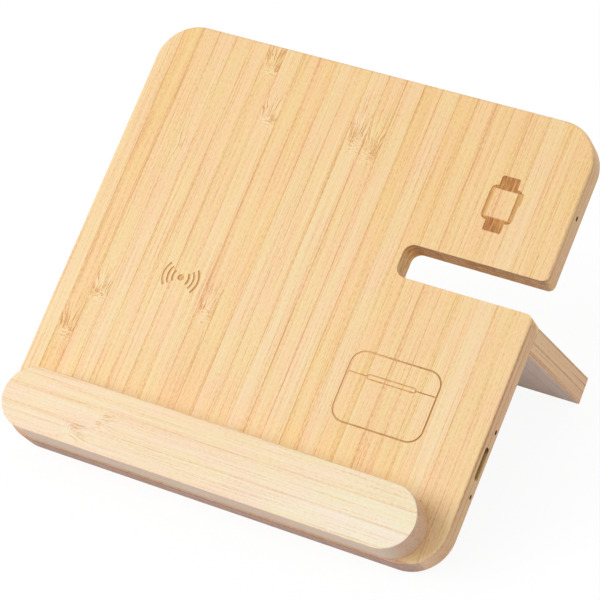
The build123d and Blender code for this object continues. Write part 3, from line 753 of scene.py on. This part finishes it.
    # Painted shade: each light hole's walls and a thin ring round it are painted dark brown
    def shade_light_holes(self):
        wood = self.wood
        on_edge = self.math("GREATER_THAN", wood.u, RIGHT_EDGE_START)
        for light_v, light_n in LIGHT_PLACES:
            along = self.minus(wood.v, light_v)
            out = self.minus(wood.n, light_n)
            away = self.math("SQRT", self.add(self.times(along, along), self.times(out, out)))
            hole_shade = self.times(self.falling_ramp(away, *LIGHT_HOLE_SHADE_REACH), on_edge)
            self.shade = self.mix(hole_shade, self.shade, LIGHT_HOLE_SHADE)

    def darken_straps(self, char):
        wood = self.wood
        _, middle_v, _, _ = WATCH_AREA
        from_middle = self.absolute(self.minus(wood.v, middle_v))
        strap = self.times(
            self.inside(wood.u, wood.v, WATCH_AREA), self.math("GREATER_THAN", from_middle, STRAP_START))
        lines = self.ramp(wood.streaks(*STRAP_STREAKS), *STRAP_RANGE)
        return self.tint(strap, char, self.mix(lines, STRAP_PALE_TINT, STRAP_DARK_TINT))

    def burn_signs(self):
        wood = self.wood
        areas = self.add(*[self.inside(wood.u, wood.v, area) for area in SIGN_AREAS])
        shallow = self.math("LESS_THAN", self.depth, SIGN_DEPTH_LIMIT)
        self.burn = self.times(areas, shallow, self.ramp(self.depth, *BURN_DEPTHS))
        tone = self.add(
            CHAR_MEAN_TONE, wood.centred(wood.speckle(*SCORCH_NOISE), CHAR_SCORCH_TONE),
            wood.centred(self.fine, CHAR_FINE_TONE), wood.centred(self.medium, CHAR_MEDIUM_TONE))
        char = self.mix(self.linear_ramp(tone, 0.0, 1.0), BURNT, BURNT_DEEP)
        char = self.darken_straps(char)

        case = self.minus(
            self.inside(wood.u, wood.v, CASE_AREA), self.inside(wood.u, wood.v, CASE_BAR_AREA))
        low_share = self.ramp(wood.v, *DEEP_UP, DEEP_LOW_STRENGTH, 0.0)
        deep = self.times(case, self.math("MAXIMUM", self.ramp(wood.u, *DEEP_ACROSS), low_share))
        char = self.tint(deep, char, DEEP_BURN_TINT)
        faint = self.times(case, self.falling_ramp(wood.u, *FAINT_ACROSS), FAINT_LOSS)
        strength = self.times(self.burn, self.minus(BURN_STRENGTH, faint))
        self.shade = self.mix(strength, self.shade, char)

    # Painted shade, darker and cooler, on the rim of the face round the ledge and on the low end of the board
    def paint_low_edge_shade(self):
        wood = self.wood
        rim = self.math(
            "MAXIMUM", self.falling_ramp(wood.v, *RIM_UP), self.inside(wood.u, wood.v, RIM_CORNER))
        rim = self.times(rim, self.math("LESS_THAN", self.depth, EDGE_ROUND))
        self.shade = self.tint(rim, self.shade, RIM_SHADE_TINT)
        low_wall_shade = self.times(self.end_share, self.falling_ramp(wood.v, *LOW_WALL_UP))
        self.shade = self.tint(low_wall_shade, self.shade, LOW_WALL_SHADE_TINT)

    # Streaks, ends and burnt signs are rougher, and bundles, joints and dots lie lower
    def oiled(self):
        roughness = self.add(
            WOOD_ROUGHNESS, self.times(self.fine, WOOD_ROUGHNESS_GAIN),
            self.times(self.end_share, WOOD_ROUGHNESS_GAIN), self.times(self.burn, WOOD_ROUGHNESS_GAIN))
        height = self.add(
            self.times(self.fine, FINE_HEIGHT), self.times(self.bundles, BUNDLE_HEIGHT),
            self.times(self.joint, JOINT_HEIGHT), self.times(self.wood.patch, PATCH_HEIGHT),
            self.times(self.dots, self.end_share, DOT_HEIGHT))
        return self.finished({
            "Base Color": self.shade, "Roughness": roughness, "Specular IOR Level": WOOD_SPECULAR,
            "Normal": self.bump(height, WOOD_RELIEF, WOOD_RELIEF_STRENGTH),
        })


def board_material(name, finish):
    surface = BambooSurface(name, finish)
    surface.rout_slot()
    surface.shade_port()
    surface.shade_light_holes()
    surface.burn_signs()
    surface.paint_low_edge_shade()
    return surface.oiled()


def bamboo_material(name, finish):
    return BambooSurface(name, finish).oiled()


# Metals and plastics: a base colour with scratches or mould texture in colour, roughness and height
def plain_material(name, base, spread, roughness, metallic=0.0, cells=PLAIN_CELLS, relief=PLAIN_RELIEF):
    surface = Surface(name)
    place = surface.in_cells(cells)
    coarse = surface.noise(place, *PLAIN_COARSE_NOISE)
    fine = surface.noise(place, *PLAIN_FINE_NOISE)
    other = [min(1.0, channel * spread) for channel in base[:3]] + [1.0]
    return surface.finished({
        "Base Color": surface.mix(surface.ramp(coarse, *PLAIN_COARSE_RANGE), base, other),
        "Roughness": surface.add(
            roughness, surface.times(fine, PLAIN_ROUGHNESS_SPREAD), -0.5 * PLAIN_ROUGHNESS_SPREAD),
        "Metallic": metallic,
        "Normal": surface.bump(fine, relief, PLAIN_RELIEF_STRENGTH),
    })


# A coil's winding: turns of copper wire in rings round its middle
def winding_material(name, centre):
    surface = Surface(name)
    turn, _ = BOARD_FRAME
    u, v, _ = surface.split(surface.in_frame((turn, -(turn @ centre) * MM)))
    radius = surface.math("SQRT", surface.add(surface.times(u, u), surface.times(v, v)))
    wave = surface.math("SINE", surface.times(radius, 2.0 * math.pi / WIRE_PITCH))
    lift = surface.add(surface.times(wave, 0.5), 0.5)
    stain = surface.noise(surface.combine(u, v, 0.0), WIRE_STAIN_DETAIL)
    copper = surface.mix(surface.ramp(stain, *WIRE_STAIN_RANGE), COPPER_DARK, COPPER_BRIGHT)
    return surface.finished({
        "Base Color": surface.mix(surface.times(lift, WIRE_GAP_SHARE), COPPER_GAP, copper),
        "Roughness": surface.add(WIRE_ROUGHNESS, surface.times(stain, WIRE_ROUGHNESS_GAIN)),
        "Metallic": WIRE_METALLIC,
        "Normal": surface.bump(lift, WIRE_RELIEF, WIRE_RELIEF_STRENGTH),
    })


# Light pipes in dark brown, painted shade that makes the holes read dark
def light_material(name):
    surface = Surface(name)
    frost = surface.noise(surface.in_cells(PIPE_CELLS), *PIPE_FROST_NOISE)
    return surface.finished({
        "Base Color": surface.mix(frost, PIPE_SHADE_DARK, PIPE_SHADE_PALE),
        "Roughness": surface.ramp(frost, *PIPE_FROST_RANGE, *PIPE_ROUGHNESS),
        "IOR": PIPE_IOR,
        "Specular IOR Level": PIPE_SPECULAR,
        "Normal": surface.bump(frost, PIPE_RELIEF, PIPE_RELIEF_STRENGTH),
    })


def dress(material, *names):
    for name in names:
        mesh = nodes[name].data
        mesh.materials.clear()
        mesh.materials.append(material)


def dress_wood():
    board = Finish(
        BOARD_FRAME, BOARD_COLOURS, BOARD_MARKS, seed=3.0,
        drift=(10.0, 150.0), drift_tints=(NO_TINT, HIGH_BOARD_TINT))
    ledge = Finish(
        LEDGE_FRAME, LEDGE_COLOURS, LEDGE_MARKS, seed=41.0, pitch=LEDGE_STRIP_PITCH,
        streaks=1.05, end_joints=0.0, wall_lines=0.3, end_facing=LEDGE_END_FACING,
        wall_tint=LEDGE_WALL_SHADE_TINT, end_tint=LEDGE_END_TINT,
        drift=(60.0, 145.0), drift_tints=(LEFT_LEDGE_TINT, NO_TINT))
    leg = Finish(
        LEG_FRAME, LEG_SHADED_COLOURS, LEG_MARKS, seed=77.0, joints=0.45, wall_lines=0.55,
        wall_tint=LEG_WALL_TINT, back_tint=LEG_BACK_TINT)
    cover = Finish(BOARD_FRAME, COVER_COLOURS, COVER_MARKS, seed=119.0)
    dress(board_material("board bamboo", board), "panel_board")
    dress(bamboo_material("ledge bamboo", ledge), "ledge_bar")
    dress(bamboo_material("leg bamboo", leg), "leg_board")
    dress(bamboo_material("cover bamboo", cover), "back_cover")


def dress_metal():
    zinc = plain_material(
        "zinc screw", colour(196, 197, 199), spread=0.72, roughness=0.32, metallic=1.0,
        cells=(3.0, 3.0, 3.0))
    brass = plain_material(
        "satin brass", colour(214, 176, 104), spread=0.78, roughness=0.30, metallic=1.0,
        cells=(0.5, 4.0, 4.0))
    nickel = plain_material(
        "nickel", colour(206, 203, 196), spread=0.85, roughness=0.16, metallic=1.0)
    # The inlet's steel shell is tinted brown, a painted reflection of the wood round it
    shell_with_painted_reflection = plain_material(
        "inlet shell painted reflection", colour(182, 150, 114), spread=0.75, roughness=0.42, metallic=1.0,
        cells=(0.4, 5.0, 5.0))
    dress(zinc, "ledge_screws", "cover_screws", "circuit_screws")
    for side in ("left", "right"):
        dress(brass, side + "_hinge_panel_leaf", side + "_hinge_leg_leaf", side + "_hinge_pin")
    dress(brass, "hinge_panel_screws", "hinge_leg_screws")
    dress(nickel, "watch_magnet")
    dress(shell_with_painted_reflection, "inlet_shell")


def dress_electronics():
    for name in ("lower_phone_coil", "upper_phone_coil", "earbuds_coil", "watch_coil"):
        low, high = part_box(name)
        dress(winding_material(name.replace("_", " "), (low + high) / 2), name)
    ferrite = plain_material(
        "ferrite", colour(52, 52, 56), spread=1.5, roughness=0.62, cells=(1.4, 1.4, 1.4))
    circuit_board = plain_material(
        "circuit board", colour(28, 104, 62), spread=0.6, roughness=0.38,
        cells=(0.9, 0.9, 0.9), relief=0.00002)
    chip_mould = plain_material("chip mould", colour(38, 38, 40), spread=1.5, roughness=0.55)
    tongue = plain_material("contact tongue", colour(30, 30, 32), spread=1.6, roughness=0.5)
    ceramic = plain_material("ceramic", colour(176, 148, 112), spread=0.8, roughness=0.45)
    diode_body = plain_material("diode body", colour(236, 234, 224), spread=0.9, roughness=0.4)
    lead_jacket = plain_material(
        "lead jacket", colour(92, 92, 96), spread=0.8, roughness=0.5, cells=(3.0, 3.0, 3.0))
    dress(ferrite, "phone_ferrite", "earbuds_ferrite", "watch_ferrite", "power_inductors")
    dress(circuit_board, "main_circuit_board", "watch_circuit_board")
    dress(chip_mould, "controller_chips")
    dress(tongue, "inlet_contacts")
    dress(ceramic, "resonance_capacitors")
    dress(diode_body, "indicator_diodes")
    dress(lead_jacket, "phone_coil_leads", "earbuds_coil_lead", "watch_lead")
    dress(light_material("light pipe"), "port_light_pipes", "watch_light_pipe")


def make_floor():
    surface = Surface("floor paper")
    seen = surface.seen_rays()
    tooth = surface.noise(surface.local(), *PAPER_NOISE)
    grain = surface.ramp(tooth, 0.0, 1.0, PAPER_DARKEST, 1.0)
    paper = surface.node("CombineColor", {0: grain, 1: grain, 2: grain})
    material = surface.finished({
        "Base Color": surface.tint(1.0, surface.mix(seen, FLOOR_THROWN, FLOOR_SEEN), paper),
        "Emission Color": (1.0, 1.0, 1.0, 1.0),
        "Emission Strength": surface.times(seen, FLOOR_GLOW),
        "Roughness": FLOOR_ROUGHNESS,
        "Specular IOR Level": 0.0,
    })
    signs = ((-1, -1), (1, -1), (1, 1), (-1, 1))
    corners = [(x * FLOOR_HALF, y * FLOOR_HALF, 0.0) for x, y in signs]
    mesh = bpy.data.meshes.new("floor")
    mesh.from_pydata(corners, [], [(0, 1, 2, 3)])
    mesh.materials.append(material)
    floor = bpy.data.objects.new("floor", mesh)
    bpy.context.scene.collection.objects.link(floor)


def make_world():
    world = bpy.data.worlds.new("studio")
    bpy.context.scene.world = world
    world.use_nodes = True
    graph = Graph(world.node_tree)
    background = graph.tree.nodes["Background"]
    strength = graph.node("MapRange", {"Value": graph.seen_rays(), "To Min": WORLD_LIGHT})
    graph.put(background.inputs["Color"], (1.0, 1.0, 1.0, 1.0))
    graph.put(background.inputs["Strength"], strength)


def make_softbox(name, place, side, power):
    light = bpy.data.lights.new(name, "AREA")
    light.shape = "SQUARE"
    light.size = side
    light.energy = power
    lamp = bpy.data.objects.new(name, light)
    lamp.location = place
    lamp.rotation_euler = (Vector(SOFTBOX_AIM) - Vector(place)).to_track_quat("-Z", "Y").to_euler()
    bpy.context.scene.collection.objects.link(lamp)


def make_camera():
    data = bpy.data.cameras.new("camera")
    data.lens = CAMERA_LENS
    data.sensor_width = CAMERA_SENSOR
    camera = bpy.data.objects.new("camera", data)
    heading = Matrix.Rotation(math.radians(CAMERA_HEADING), 4, "Z")
    pitch = Matrix.Rotation(math.radians(90.0 - CAMERA_PITCH), 4, "X")
    roll = Matrix.Rotation(math.radians(CAMERA_ROLL), 4, "Z")
    camera.matrix_world = Matrix.Translation(CAMERA_PLACE) @ heading @ pitch @ roll
    bpy.context.scene.collection.objects.link(camera)
    bpy.context.scene.camera = camera


dress_wood()
dress_metal()
dress_electronics()
make_floor()
make_world()
for softbox_name, softbox in SOFTBOXES.items():
    make_softbox(softbox_name, *softbox)
make_camera()
bpy.context.scene.view_settings.view_transform = "Standard"
